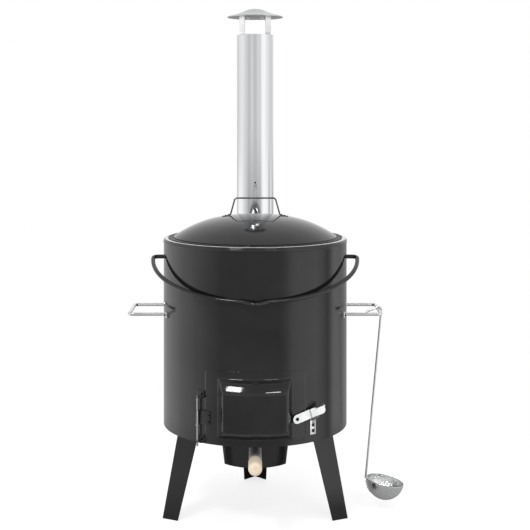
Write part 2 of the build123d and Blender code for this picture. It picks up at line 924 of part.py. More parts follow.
def cup_form(shrink, low, high):
    heights = (low, high)
    near, far = [cup_reach(height, cup_bottom_radius, cup_top_radius) - shrink for height in heights]
    narrow, wide = [cup_reach(height, cup_bottom_half, cup_top_half) - shrink for height in heights]
    cone = turned(outline([(0, low), (near, low), (far, high), (0, high)]))
    bowed = (Pos(0, cup_bow_offset, 0) * cone) & (Pos(0, -cup_bow_offset, 0) * cone)
    side = outline([(-narrow, low), (narrow, low), (wide, high), (-wide, high)])
    return bowed & extrude(Plane.XZ.offset(-cup_flange_radius) * side, 2 * cup_flange_radius)


def ash_cup():
    top = cup_flange_low + cup_sheet
    cup = cup_form(0, cup_low, cup_flange_low) + bar(cup_flange_radius, cup_flange_low, top)
    cup -= cup_form(cup_sheet, cup_low + cup_sheet, top + sink)
    low = cup_flange_low - sink
    for azimuth in hook_azimuths:
        middle = azimuth - cup_turn
        ends = (middle - hook_notch_half_angle, middle + hook_notch_half_angle)
        cup -= sector(notch_inner, cup_flange_radius + sink, low, cup_flange_low + cup_sheet + sink, *ends)
    return cup


def handle_axis():
    return Pos(0, 0, stem_height) * Rot(90, 0, 0)


def ash_handle_stem():
    stem = bar(stem_radius, cup_bottom_front - cup_sheet, stem_end) - bar(stem_bore, 0, stem_end - stem_cap)
    stem -= bar(screw_radius, 0, stem_end + cut_margin)
    return handle_axis() * stem - cup_form(0, cup_low, cup_flange_low)


def ash_handle_wood():
    grip = bar(wood_radius, stem_end, wood_end)
    grip = fillet(grip.edges().group_by(Axis.Z)[-1], wood_round)
    grip = fillet(grip.edges().group_by(Axis.Z)[0], wood_back_round)
    grip -= bar(screw_radius, 0, stem_end + screw_depth)
    return handle_axis() * grip


def ash_handle_screw():
    inner = stem_end - stem_cap
    head = bar(screw_head_radius, inner - screw_head_height, inner)
    return handle_axis() * (head + bar(screw_radius, inner - screw_head_height / 2, stem_end + screw_depth))


# Pot
def pot():
    face = outline([
        (0, pot_low),
        (pot_radius, pot_low),
        (pot_radius, pot_join),
        (pot_inner, pot_join),
        (pot_inner, pot_low + pot_sheet),
        (0, pot_low + pot_sheet),
    ])
    face = rounded(face, (pot_radius, pot_low), pot_round)
    face = rounded(face, (pot_inner, pot_low + pot_sheet), pot_round - pot_sheet)
    return turned(face)


def pot_flange():
    top = pot_seat + pot_sheet
    face = outline([
        (pot_inner, pot_join),
        (pot_radius, pot_join),
        (pot_radius, pot_seat),
        (pot_flange_radius, pot_seat),
        (pot_flange_radius, top),
        (pot_inner, top),
    ])
    face = rounded(face, (pot_inner, top), pot_flange_round)
    face = rounded(face, (pot_radius, pot_seat), pot_flange_round - pot_sheet)
    return turned(face)


# Bail
def bail():
    half = bail_peak_half_width
    turn = degrees(acos(half / bail_side))
    corner = Vector(bail_side, 0)
    peak = Vector(0, bail_peak)
    end = Vector(bail_end, 0)
    arc = EllipticalCenterArc((0, 0), bail_side, bail_reach, 0, arc_size=turn)
    side = [Line(end, corner).edge(), arc.edge(), Line(arc @ 1, peak).edge()]
    flat = Wire(side + [edge.mirror(Plane.YZ) for edge in side])
    for x, radius in [(bail_side, bail_corner), (half, bail_peak_corner), (0, bail_peak_corner)]:
        bends = [vertex for vertex in flat.vertices() if abs(abs(vertex.X) - x) < sink and vertex.Y >= 0]
        flat = flat.fillet_2d(radius, bends)
    droop = radians(bail_droop)
    plane = Plane(origin=(0, 0, bail_height), x_dir=(1, 0, 0), z_dir=(0, sin(droop), -cos(droop)))
    head = along_x(bar(bail_head_radius, bail_end, bail_end + bail_head_sheet))
    return rod(plane.location * flat, bail_radius) + head + mirror(head, Plane.YZ)


# Lid
def lid_height(radius):
    return lid_low + lid_sheet + lid_rise * (1 - (radius / lid_radius) ** lid_power)


def lid_slope(radius):
    return -lid_rise * lid_power / lid_radius * (radius / lid_radius) ** (lid_power - 1)


def lid():
    radii = [lid_radius * index / lid_steps for index in range(lid_steps + 1)]
    tangents = [(1, 0), (1, lid_slope(lid_radius))]
    crown = Spline(*[(radius, lid_height(radius)) for radius in radii], tangents=tangents)
    under = Spline(*[(radius, lid_height(radius) - lid_sheet) for radius in radii], tangents=tangents)
    rim = Line(crown @ 1, under @ 1)
    axis = Line(crown @ 0, under @ 0)
    body = turned(make_face([crown.edge(), rim.edge(), under.edge(), axis.edge()]))
    for place in lid_rivet_places():
        body -= rivet_hole(place, small_rivet_share)
    return body


def lid_skirt():
    inner = lid_skirt_radius - lid_sheet
    low = lid_low - lid_skirt_depth
    under_lid = lid_sheet + lid_skirt_slack
    return turned(outline([
        (inner, low),
        (lid_skirt_radius, low),
        (lid_skirt_radius, lid_height(lid_skirt_radius) - under_lid),
        (inner, lid_height(inner) - under_lid),
    ]))


def lid_pad_place(side):
    height = lid_height(pad_centre)
    normal = Vector(-lid_slope(pad_centre) * side, 0, 1).normalized()
    across = Vector(normal.Z, 0, -normal.X)
    return Plane(origin=(side * pad_centre, 0, height), x_dir=across, z_dir=normal).location


def lid_rivet_places():
    return [lid_pad_place(side) * Pos(0, 0, pad_sheet) for side in (-1, 1)]


def lid_handle():
    lap = pad_centre - pad_length / 2 + wire_pad_lap
    lift = lid_height(wire_foot_half) + wire_radius
    lap_lift = lid_height(lap) + wire_radius
    half = [(lap, 0, lap_lift), (wire_foot_half, 0, lift), (wire_top_half, 0, wire_top)]
    points = half + [(-x, y, z) for x, y, z in half[::-1]]
    corner = wire_corner / 2
    body = rod(bent_path(points, [corner, wire_corner, wire_corner, corner]), wire_radius)
    for side in (-1, 1):
        pad = extrude(SlotOverall(pad_length, pad_width), pad_sheet + sink)
        body += lid_pad_place(side) * Pos(0, 0, -sink) * pad
    body -= lid_body_core()
    for place in lid_rivet_places():
        body -= rivet_hole(place, small_rivet_share)
    return body


def lid_body_core():
    radii = [lid_radius * index / lid_steps for index in range(lid_steps + 1)]
    tangents = [(1, 0), (1, lid_slope(lid_radius))]
    crown = Spline(*[(radius, lid_height(radius)) for radius in radii], tangents=tangents)
    low = lid_low - lid_skirt_depth
    lines = Polyline(crown @ 1, (lid_radius, low), (0, low), crown @ 0)
    return turned(make_face([crown.edge(), *lines.edges()]))


def lid_handle_rivets():
    grip = pad_sheet + lid_sheet
    return group([rivet(place, grip, None, None, small_rivet_share) for place in lid_rivet_places()])


# Ladle
def bowl_place():
    return Pos(ladle_bowl_x, ladle_y, ladle_bowl_z) * Rot(0, ladle_tilt, 0)


def ladle_rivet_places():
    places = []
    for angle in ladle_rivet_angles:
        outward = Vector(-cos(radians(angle)), 0, -sin(radians(angle)))
        plane = Plane(origin=outward * ladle_strap_radius, x_dir=(0, 1, 0), z_dir=outward)
        places.append(bowl_place() * plane.location)
    return places


def ladle_bowl():
    half = Pos(0, 0, -ladle_bowl_radius) * Box(*[2 * ladle_bowl_radius] * 3)
    bowl = Sphere(ladle_bowl_radius) - Sphere(ladle_bowl_radius - ladle_bowl_sheet)
    bowl = bowl_place() * (bowl & half)
    for place in ladle_rivet_places():
        bowl -= rivet_hole(place, small_rivet_share)
    return bowl


def ladle_path():
    lower = bowl_place() * Pos(-ladle_strap_radius - ladle_rod_lift, 0, -ladle_rod_drop)
    foot = Vector(lower.position.X, ladle_y, lower.position.Z)
    bend = handle_radius + seat_gap + ladle_rod_radius
    centre = Vector(handle_outer, ladle_y, handle_height)
    reach = centre - foot
    lean = degrees(asin(bend / reach.length)) + degrees(asin(reach.X / reach.length))
    crest = 90 + ladle_tail_slope
    right, middle, top = [
        centre + Vector(cos(radians(angle)), 0, sin(radians(angle))) * bend
        for angle in (-lean, (crest - lean) / 2, crest)
    ]
    slope = radians(ladle_tail_slope)
    tail = top - Vector(cos(slope), 0, sin(slope)) * ladle_tail_length
    edges = [Line(foot, right), ThreePointArc(right, middle, top), Line(top, tail)]
    return Wire([edge.edge() for edge in edges])


def ladle_rod():
    shell = Sphere(ladle_strap_radius) - Sphere(ladle_bowl_radius)
    length = ladle_strap_radius - ladle_strap_inner
    window = Box(length, ladle_strap_width, ladle_strap_depth, align=(Align.MIN, Align.CENTER, Align.MIN))
    strap = shell & (Pos(-ladle_strap_radius, 0, -ladle_strap_depth) * window)
    body = rod(ladle_path(), ladle_rod_radius) + bowl_place() * strap
    for place in ladle_rivet_places():
        body -= rivet_hole(place, small_rivet_share)
    return body


def ladle_rivets():
    outer = bowl_place() * Sphere(ladle_strap_radius)
    inner = bowl_place() * Sphere(ladle_bowl_radius - ladle_bowl_sheet)
    grip = ladle_strap_sheet + ladle_bowl_sheet
    return group([rivet(place, grip, outer, inner, small_rivet_share) for place in ladle_rivet_places()])


# Every piece under the name of its file
upper_rivet, lower_rivet = lug_rivet_places()
pieces = {
    "drum_shell": drum_shell(),
    "drum_bottom_plate": drum_bottom_plate(),
    "rim_ring": rim_ring(),
    "door_stop_frame": door_stop_frame(),
    "fire_grate": fire_grate(),
    "leg_bolts": leg_bolts(),
    "hinge_lug_upper": hinge_lug(upper_lug_low, upper_rivet),
    "hinge_lug_lower": hinge_lug(lower_lug_low, lower_rivet),
    "hinge_lug_rivets": wall_rivets(lug_rivet_places(), catch_sheet),
    "hinge_pin": hinge_pin(),
    "latch_catch": latch_catch(),
    "catch_rivets": wall_rivets(catch_rivet_places(), catch_sheet),
    "side_handle_left": side_handle(-1),
    "side_handle_right": side_handle(1),
    "side_handle_bolts": side_handle_bolts(),
    "bail_bushes": bail_bushes(),
    "flue_collar": flue_collar(),
    "flue_elbow": flue_elbow(),
    "flue_spigot": flue_spigot(),
    "flue_flange": flue_flange(),
    "flue_rivets": wall_rivets(flue_rivet_places(), flue_flange_sheet),
    "bayonet_hooks": bayonet_hooks(),
    "door_panel": door_panel(),
    "door_knuckle": door_knuckle(),
    "knuckle_rivets": knuckle_rivets(),
    "latch_rivet": latch_rivet(),
    "latch_lever": latch_lever(),
    "pot": pot(),
    "pot_flange": pot_flange(),
    "bail": bail(),
    "lid": lid(),
    "lid_skirt": lid_skirt(),
    "lid_handle": lid_handle(),
    "lid_handle_rivets": lid_handle_rivets(),
    "ash_cup": ash_cup(),
    "ash_handle_stem": ash_handle_stem(),
    "ash_handle_wood": ash_handle_wood(),
    "ash_handle_screw": ash_handle_screw(),
    "chimney_pipe": chimney_pipe(),
    "chimney_rivet": chimney_rivet(),
    "rain_cap": rain_cap(),
    "cap_underplate": cap_underplate(),
    "cap_struts": cap_struts(),
    "cap_rivets": cap_rivets(),
    "ladle_rod": ladle_rod(),
    "ladle_bowl": ladle_bowl(),
    "ladle_rivets": ladle_rivets(),
}
for name, azimuth in leg_azimuths.items():
    pieces[name] = leg(azimuth)

os.makedirs("parts", exist_ok=True)
for name, piece in pieces.items():
    export_step(piece, f"parts/{name}.step")
    print(name, len(piece.solids()), round(piece.volume))
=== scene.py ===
# %% [markdown]
# # Kettle stove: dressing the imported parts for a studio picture
# The stove's pieces arrive at their real size and place. This file gives each piece its finish,
# adds the small things that are better made as meshes, such as the pressed door, bolt heads and
# weld beads, and then sets up the floor, the lamps and the camera. Everything is in metres, with
# the floor at zero and the front towards -Y.

# %% Fetch the parts
import bpy
import bmesh
from math import cos, degrees, exp, log, pi, radians, sin, sqrt
from mathutils import Matrix, Vector


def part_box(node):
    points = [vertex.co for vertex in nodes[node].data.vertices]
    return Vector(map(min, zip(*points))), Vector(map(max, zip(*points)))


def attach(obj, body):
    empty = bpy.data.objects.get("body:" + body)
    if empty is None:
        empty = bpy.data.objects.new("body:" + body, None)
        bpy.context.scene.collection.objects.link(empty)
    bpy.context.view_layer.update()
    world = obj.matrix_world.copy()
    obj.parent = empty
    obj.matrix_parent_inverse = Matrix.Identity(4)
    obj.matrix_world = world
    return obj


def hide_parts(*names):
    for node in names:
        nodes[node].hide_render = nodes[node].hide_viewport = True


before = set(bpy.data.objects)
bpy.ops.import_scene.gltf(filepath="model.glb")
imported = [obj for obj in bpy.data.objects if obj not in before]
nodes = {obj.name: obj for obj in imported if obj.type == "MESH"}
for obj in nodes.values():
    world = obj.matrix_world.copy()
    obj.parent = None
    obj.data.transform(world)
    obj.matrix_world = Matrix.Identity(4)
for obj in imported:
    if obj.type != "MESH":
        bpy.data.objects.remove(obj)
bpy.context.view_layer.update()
mm = 0.001

# %% [markdown]
# ## Sizes worth reading once
# Later pieces sit on the drum, the pipe and the cap. Their sizes are read from the parts' own
# boxes, so a bead or a bolt always lies on the thing that carries it.

# %% Read the main sizes
drum_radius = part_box("drum_shell")[1].x
pipe_low, pipe_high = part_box("chimney_pipe")
pipe_radius = (pipe_high.x - pipe_low.x) / 2
pipe_y = (pipe_high.y + pipe_low.y) / 2
cap_low, cap_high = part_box("rain_cap")
cap_radius = cap_high.x
sheet = 1.2 * mm
for title, size in (("drum radius", drum_radius), ("pipe radius", pipe_radius), ("pipe axis", pipe_y)):
    print(title, "in mm:", round(size / mm, 1))

# %% [markdown]
# ## The camera
# The photograph was taken from a little under three metres, with the camera about a metre above the
# floor. A level camera keeps the pipe and the drum's sides upright. The picture is shifted down
# instead of tilting the camera, in the way that product photographers do.

# %% Place the camera
camera_data = bpy.data.cameras.new("studio_camera")
camera_data.lens = 75.57
camera_data.sensor_width = 36.0
camera_data.shift_x = 0.01853
camera_data.shift_y = -0.2796
camera_distance, camera_height = 2.746, 0.9624
camera = bpy.data.objects.new("studio_camera", camera_data)
camera.location = (0, -camera_distance, camera_height)
camera.rotation_euler = (radians(90), 0, 0)
bpy.context.scene.collection.objects.link(camera)
bpy.context.scene.camera = camera
print("camera height in mm:", round(camera.location.z / mm))

# %% [markdown]
# ## A small kit for finishes
# Every finish starts from one shader. Three things make it look real: colour that varies a little,
# gloss that varies a little, and a surface that isn't perfectly even. Each one comes from noise
# that is laid out in the piece's own coordinates, so it stays on the piece when a door swings.
# Stretching the noise turns it into streaks or grain.

# %% Helpers for finishes
def new_finish(name, colour, metallic=0.0, roughness=0.5):
    finish = bpy.data.materials.new(name)
    finish.use_nodes = True
    tree = finish.node_tree
    shader = tree.nodes["Principled BSDF"]
    shader.inputs["Base Color"].default_value = (*colour, 1)
    shader.inputs["Metallic"].default_value = metallic
    shader.inputs["Roughness"].default_value = roughness
    return finish, tree, shader


def compute(tree, operation, first, second=0.0):
    node = tree.nodes.new("ShaderNodeMath")
    node.operation = operation
    for socket, value in zip(node.inputs, (first, second)):
        if isinstance(value, (int, float)):
            socket.default_value = value
        else:
            tree.links.new(value, socket)
    return node.outputs[0]


def place_of(tree):
    return tree.nodes.new("ShaderNodeTexCoord").outputs["Object"]


def coordinates_of(tree):
    parts = tree.nodes.new("ShaderNodeSeparateXYZ")
    tree.links.new(place_of(tree), parts.inputs[0])
    return parts.outputs


def noise(tree, scale, stretch=(1, 1, 1), detail=3.0):
    spread = tree.nodes.new("ShaderNodeVectorMath")
    spread.operation = "MULTIPLY"
    tree.links.new(place_of(tree), spread.inputs[0])
    spread.inputs[1].default_value = stretch
    texture = tree.nodes.new("ShaderNodeTexNoise")
    texture.inputs["Scale"].default_value = scale
    texture.inputs["Detail"].default_value = detail
    tree.links.new(spread.outputs[0], texture.inputs["Vector"])
    return texture.outputs["Fac"]


def between(tree, source, low, high, start=0.3, end=0.7):
    node = tree.nodes.new("ShaderNodeMapRange")
    tree.links.new(source, node.inputs["Value"])
    for name, value in (("From Min", start), ("From Max", end), ("To Min", low), ("To Max", high)):
        node.inputs[name].default_value = value
    return node.outputs["Result"]


def mixed(tree, factor, first, second):
    node = tree.nodes.new("ShaderNodeMix")
    node.data_type = "RGBA"
    tree.links.new(factor, node.inputs["Factor"])
    for socket, value in ((node.inputs["A"], first), (node.inputs["B"], second)):
        if isinstance(value, tuple):
            socket.default_value = (*value, 1)
        else:
            tree.links.new(value, socket)
    return node.outputs["Result"]


def bumped(tree, shader, heights):
    normal = None
    for source, distance in heights:
        node = tree.nodes.new("ShaderNodeBump")
        node.inputs["Distance"].default_value = distance
        tree.links.new(source, node.inputs["Height"])
        if normal:
            tree.links.new(normal, node.inputs["Normal"])
        normal = node.outputs["Normal"]
    tree.links.new(normal, shader.inputs["Normal"])


def shade(colour, factor):
    return tuple(min(1.0, part * factor) for part in colour)


print("finish helpers ready")

# %% [markdown]
# ## Black enamel
# The drum, lid, legs and door are sheet steel with fired glass enamel: almost black, and so smooth
# that it mirrors the studio. Its colour hardly matters; the reflections do. Two kinds of unevenness
# keep it from looking like plastic: a fine orange peel from firing, and slow waves that run down
# the sheet from the rolling mill.

# %% Make the enamel
def enamel_shader(tree, shader, tone, wave=0.5 * mm, stretch=(1, 1, 0.12)):
    mottle = noise(tree, 11, detail=4)
    colour = mixed(tree, between(tree, mottle, 0, 1), shade(tone, 0.7), shade(tone, 1.4))
    tree.links.new(colour, shader.inputs["Base Color"])
    smears = noise(tree, 23, (1, 1, 0.5), detail=5)
    tree.links.new(between(tree, smears, 0.05, 0.12), shader.inputs["Roughness"])
    peel = noise(tree, 330, detail=1.5)
    waves = noise(tree, 13, stretch, detail=1)
    bumped(tree, shader, [(waves, wave), (peel, 0.04 * mm)])


enamel_tone = (0.0105, 0.0107, 0.0114)
enamel, enamel_tree, enamel_surface = new_finish("black_enamel", enamel_tone)
enamel_shader(enamel_tree, enamel_surface, enamel_tone)
print("made", enamel.name)

# %% [markdown]
# The same enamel looks different on a rod: there the slow waves of the sheet are missing, and what
# is left is a slightly thicker, rounder coat.

# %% Make the rod enamel
rod_enamel, rod_tree, rod_surface = new_finish("rod_enamel", enamel_tone)
enamel_shader(rod_tree, rod_surface, enamel_tone, 0.1 * mm, (3, 3, 3))
print("made", rod_enamel.name)

# %% [markdown]
# ## Soot
# Inside the drum the enamel is covered by soot and ash. It is dull and rough, with paler ash in
# patches. The drum's wall is one piece with both sides, so its finish is a blend with a mask: where
# the mask is one, the outer finish shows. Here the mask asks how far the point is from the drum's
# axis. Beyond the middle of the sheet it is enamel, and inside it is soot.

# %% Make the soot, and the wall that has both
soot_tone, ash_tone = (0.012, 0.011, 0.0105), (0.07, 0.066, 0.062)


def soot_into(tree, shader):
    patches = noise(tree, 26, detail=6)
    colour = mixed(tree, between(tree, patches, 0, 1, 0.45, 0.75), soot_tone, ash_tone)
    tree.links.new(colour, shader.inputs["Base Color"])
    tree.links.new(between(tree, patches, 0.75, 0.95), shader.inputs["Roughness"])
    bumped(tree, shader, [(patches, 0.8 * mm), (noise(tree, 300, detail=4), 0.2 * mm)])


soot, soot_tree, soot_surface = new_finish("soot", (0.02, 0.02, 0.02), roughness=0.85)
soot_into(soot_tree, soot_surface)


def radius_of(tree):
    place = coordinates_of(tree)
    squares = [compute(tree, "MULTIPLY", place[axis], place[axis]) for axis in ("X", "Y")]
    return compute(tree, "SQRT", compute(tree, "ADD", *squares))


def two_sided(name, outer, inner, mask):
    finish, tree, shader = new_finish(name, enamel_tone)
    outer(tree, shader)
    inside = tree.nodes.new("ShaderNodeBsdfPrincipled")
    inner(tree, inside)
    blend = tree.nodes.new("ShaderNodeMixShader")
    tree.links.new(mask(tree), blend.inputs[0])
    tree.links.new(inside.outputs[0], blend.inputs[1])
    tree.links.new(shader.outputs[0], blend.inputs[2])
    tree.links.new(blend.outputs[0], tree.nodes["Material Output"].inputs["Surface"])
    return finish


def plain_enamel(tree, shader):
    enamel_shader(tree, shader, enamel_tone)


wall_middle = drum_radius - sheet / 2


def outer_face(tree):
    return compute(tree, "GREATER_THAN", radius_of(tree), wall_middle)


drum_finish = two_sided("drum_enamel_and_soot", plain_enamel, soot_into, outer_face)
print("made", drum_finish.name, "with its soot inside", round(wall_middle, 4))

# %% [markdown]
# The kettle sits in the smoke, so its outside is sooty and its inside is clean enamel. Here the two
# sides are told apart by the way that a surface faces: if it faces away from the kettle's middle,
# it is an outside. Towards the rim the soot ends, and the enamel is clean on both sides.

# %% Make the kettle's finish
kettle_middle = 570 * mm
smoke_end, clean_start = 640 * mm, 660 * mm


def faces_outward(tree):
    geometry = tree.nodes.new("ShaderNodeNewGeometry")
    middle = tree.nodes.new("ShaderNodeVectorMath")
    middle.operation = "SUBTRACT"
    tree.links.new(place_of(tree), middle.inputs[0])
    middle.inputs[1].default_value = (0, 0, kettle_middle)
    facing = tree.nodes.new("ShaderNodeVectorMath")
    facing.operation = "DOT_PRODUCT"
    tree.links.new(middle.outputs[0], facing.inputs[0])
    tree.links.new(geometry.outputs["Normal"], facing.inputs[1])
    return facing.outputs["Value"]


def clean_share(tree):
    inside = compute(tree, "LESS_THAN", faces_outward(tree), 0)
    above = between(tree, coordinates_of(tree)["Z"], 0, 1, smoke_end, clean_start)
    return compute(tree, "MAXIMUM", inside, above)


kettle_finish = two_sided("kettle_enamel_and_soot", plain_enamel, soot_into, clean_share)
print("made", kettle_finish.name)

# %% [markdown]
# ## Bright steel
# The pipe, the rain cap and the ladle are stainless sheet. Rolled and polished sheet mirrors in
# streaks along one direction, so the noise is stretched along that direction. The same recipe does
# for every bright metal here, with other tones, gloss and streak directions.

# %% Make the bright steels
def steel_into(tree, shader, tone, gloss, streak, wave=0.3 * mm, grain=30):
    shader.inputs["Metallic"].default_value = 1.0
    bands = noise(tree, grain, streak, detail=3)
    lines = noise(tree, 260, streak, detail=2)
    share = between(tree, bands, 0, 1, 0.35, 0.65)
    colour = mixed(tree, share, shade(tone, 0.9), shade(tone, 1.06))
    tree.links.new(colour, shader.inputs["Base Color"])
    tree.links.new(between(tree, lines, gloss * 0.75, gloss * 1.3), shader.inputs["Roughness"])
    bumped(tree, shader, [(bands, wave), (lines, 0.012 * mm)])


def bright_steel(name, tone, *kind):
    finish, tree, shader = new_finish(name, tone, 1.0)
    steel_into(tree, shader, tone, *kind)
    return finish


no_streak = (1, 1, 1)
pipe_steel = bright_steel("pipe_steel", (0.80, 0.815, 0.83), 0.09, (1, 1, 0.02))
cap_steel = bright_steel("cap_steel", (0.60, 0.605, 0.61), 0.24, no_streak, 0.6 * mm, 120)
bowl_steel = bright_steel("bowl_steel", (0.80, 0.805, 0.81), 0.22, no_streak, 1.4 * mm, 150)
plate_steel = bright_steel("plate_steel", (0.42, 0.42, 0.43), 0.35, no_streak)
strut_steel = bright_steel("strut_steel", (0.88, 0.885, 0.89), 0.28, no_streak, 0.8 * mm)
ladle_steel = bright_steel("ladle_steel", (0.76, 0.77, 0.775), 0.2, (1, 1, 0.1), 0.1 * mm)
zinc_tone, zinc_gloss, zinc_wave = (0.90, 0.91, 0.915), 0.30, 0.1 * mm
zinc = bright_steel("zinc_plate", zinc_tone, zinc_gloss, no_streak, zinc_wave)
handle_chrome = bright_steel("handle_chrome", (0.74, 0.75, 0.76), 0.16, (0.1, 1, 1), 0.05 * mm)
pin_steel = bright_steel("pin_steel", (0.46, 0.46, 0.47), 0.2, (1, 1, 0.1), 0.02 * mm)
steels = [pipe_steel, cap_steel, bowl_steel, plate_steel, strut_steel, ladle_steel]
steels += [zinc, handle_chrome, pin_steel]
print("made", [finish.name for finish in steels])

# %% [markdown]
# ## Worn and blackened places
# Two parts have two finishes that meet at a height. The ring is enamelled with the drum, except for
# the worn edge that the kettle's flange sits on, where bare steel shows as a thin light line. The
# latch's catch is bright zinc below, and above, where it sits under the lever, it is darkened as
# painted shade. A little noise is added to the height so that the border isn't ruled.

# %% Make the finishes that change with height
def below(level, ragged):
    def mask(tree):
        wobble = between(tree, noise(tree, 60, detail=3), -ragged, ragged)
        height = compute(tree, "ADD", coordinates_of(tree)["Z"], wobble)
        return compute(tree, "LESS_THAN", height, level)

    return mask


# Bare steel: the ring's real worn edge, and the painted highlight lines on the hinge.
def worn_steel_and_painted_highlight(tree, shader):
    steel_into(tree, shader, (0.8, 0.8, 0.8), 0.22, no_streak, 0.02 * mm)


def catch_zinc(tree, shader):
    steel_into(tree, shader, zinc_tone, zinc_gloss, no_streak, zinc_wave)


# Painted shade: the catch's upper part under the lever, darkened in its colour.
def painted_shade_black(tree, shader):
    steel_into(tree, shader, (0.16, 0.16, 0.165), 0.3, no_streak, 0.1 * mm)


ring_border = below(665.2 * mm, 0.1 * mm)
catch_shade_border = below(264.0 * mm, 0.8 * mm)
ring_finish = two_sided("rim_enamel_and_steel", plain_enamel, worn_steel_and_painted_highlight, ring_border)
catch_with_painted_shade = two_sided("catch_zinc_painted_shade", catch_zinc, painted_shade_black, catch_shade_border)
print("made", ring_finish.name, catch_with_painted_shade.name)

# %% [markdown]
# Some parts are duller than the rest. The kettle's flange has lost its gloss where the lid rubs on
# it, and so has the ash cup from ash and heat. The cup's stem is zinc that has gone matt: a mirror
# would show the black cup behind it and vanish, while the matt stem keeps the light that falls on
# it from both sides.

# %% Make the dull finishes
def dull_enamel(name, gloss, specular):
    finish, tree, surface = new_finish(name, (0.016, 0.016, 0.017), roughness=gloss)
    surface.inputs["Specular IOR Level"].default_value = specular
    rubs = noise(tree, 40, (1, 1, 0.2), detail=4)
    tree.links.new(between(tree, rubs, gloss * 0.75, gloss * 1.25), surface.inputs["Roughness"])
    bumped(tree, surface, [(rubs, 0.1 * mm)])
    return finish


def matt_zinc(name, tone):
    finish, tree, surface = new_finish(name, tone, 0.3, 0.5)
    grains = noise(tree, 180, detail=3)
    colour = mixed(tree, between(tree, grains, 0, 1), shade(tone, 0.85), shade(tone, 1.12))
    tree.links.new(colour, surface.inputs["Base Color"])
    bumped(tree, surface, [(grains, 0.1 * mm)])
    return finish


flange_finish = dull_enamel("flange_enamel", 0.4, 0.14)
cup_finish = dull_enamel("cup_enamel", 0.3, 0.5)
stem_zinc = matt_zinc("stem_zinc", (0.54, 0.52, 0.515))
print("made", flange_finish.name, cup_finish.name, stem_zinc.name)

# %% [markdown]
# The hinge's barrel is enamelled like its leaf, with two painted highlights in bright steel: one
# along the barrel, in line with the pin, and a short one where the leaf starts.

# %% Make the hinge with its painted highlights
# Painted highlights: two bright steel lines at a fixed X on the barrel and the leaf.
barrel_highlight_line = (-132.9 * mm, 1.5 * mm)
leaf_highlight_line = (-125.4 * mm, 0.8 * mm)


def off_the_painted_highlights(tree):
    shares = []
    for line_x, half_width in (barrel_highlight_line, leaf_highlight_line):
        offset = compute(tree, "SUBTRACT", coordinates_of(tree)["X"], line_x)
        shares.append(compute(tree, "GREATER_THAN", compute(tree, "ABSOLUTE", offset), half_width))
    return compute(tree, "MULTIPLY", *shares)


hinge_enamel_and_painted_highlights = two_sided("hinge_enamel_painted_highlights", plain_enamel, worn_steel_and_painted_highlight, off_the_painted_highlights)
print("made", hinge_enamel_and_painted_highlights.name)

# %% [markdown]
# ## Blackened rivets, cast iron and beech
# Rivets are oiled black, the grate is raw cast iron with a sandy skin, and the ash cup's grip is
# turned beech. Wood needs two scales: wide bands along the grip, and the short dark flecks that
# tell beech from other pale woods.

# %% Make the dark metals and the wood
def dark_metal(name, tone, roughness, bump):
    finish, tree, shader = new_finish(name, tone, 1.0)
    patches = noise(tree, 120, detail=4)
    colour = mixed(tree, between(tree, patches, 0, 1), shade(tone, 0.6), shade(tone, 1.6))
    tree.links.new(colour, shader.inputs["Base Color"])
    gloss = between(tree, patches, roughness * 0.8, roughness * 1.25)
    tree.links.new(gloss, shader.inputs["Roughness"])
    bumped(tree, shader, [(noise(tree, 600, detail=3), bump)])
    return finish


rivet_black = dark_metal("rivet_black", (0.025, 0.025, 0.027), 0.36, 0.03 * mm)
wire_black = dark_metal("wire_black", (0.16, 0.16, 0.165), 0.3, 0.02 * mm)
cast_iron = dark_metal("cast_iron", (0.10, 0.098, 0.095), 0.62, 0.3 * mm)

beech, beech_tree, beech_surface = new_finish("beech", (0.94, 0.78, 0.61), roughness=0.45)
bands = noise(beech_tree, 70, (1, 0.06, 1), detail=4)
flecks = noise(beech_tree, 520, (1, 0.1, 1), detail=2)
light_wood, dark_wood, fleck_wood = (0.96, 0.81, 0.65), (0.90, 0.72, 0.54), (0.74, 0.54, 0.37)
wood = mixed(beech_tree, between(beech_tree, bands, 0, 1, 0.35, 0.65), light_wood, dark_wood)
wood = mixed(beech_tree, between(beech_tree, flecks, 0, 0.7, 0.62, 0.74), wood, fleck_wood)
beech_tree.links.new(wood, beech_surface.inputs["Base Color"])
beech_tree.links.new(between(beech_tree, bands, 0.38, 0.55), beech_surface.inputs["Roughness"])
bumped(beech_tree, beech_surface, [(bands, 0.15 * mm), (flecks, 0.05 * mm)])
print("made", rivet_black.name, wire_black.name, cast_iron.name, beech.name)

# %% [markdown]
# ## Giving the finishes to the parts
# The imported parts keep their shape, and only their finish changes. One table says which parts share
# a finish, which is easier to check than a line for each part.

# %% Put the finishes on the parts
finish_of = {
    drum_finish: "drum_shell",
    enamel: "drum_bottom_plate door_stop_frame flue_flange lid lid_skirt leg_left leg_right "
            "leg_rear hinge_lug_upper hinge_lug_lower bayonet_hooks",
    cup_finish: "ash_cup",
    hinge_enamel_and_painted_highlights: "door_knuckle",
    rod_enamel: "bail bail_bushes flue_collar flue_elbow flue_spigot",
    kettle_finish: "pot",
    flange_finish: "pot_flange",
    ring_finish: "rim_ring",
    pipe_steel: "chimney_pipe",
    cap_steel: "rain_cap",
    plate_steel: "cap_underplate",
    strut_steel: "cap_struts",
    ladle_steel: "ladle_rod ladle_rivets",
    bowl_steel: "ladle_bowl",
    handle_chrome: "side_handle_left side_handle_right",
    stem_zinc: "ash_handle_stem",
    pin_steel: "hinge_pin",
    zinc: "latch_lever leg_bolts ash_handle_screw",
    catch_with_painted_shade: "latch_catch",
    wire_black: "lid_handle",
    rivet_black: "side_handle_bolts catch_rivets latch_rivet hinge_lug_rivets knuckle_rivets "
                 "flue_rivets lid_handle_rivets chimney_rivet cap_rivets",
    cast_iron: "fire_grate",
    beech: "ash_handle_wood",
    soot: "door_panel",
}
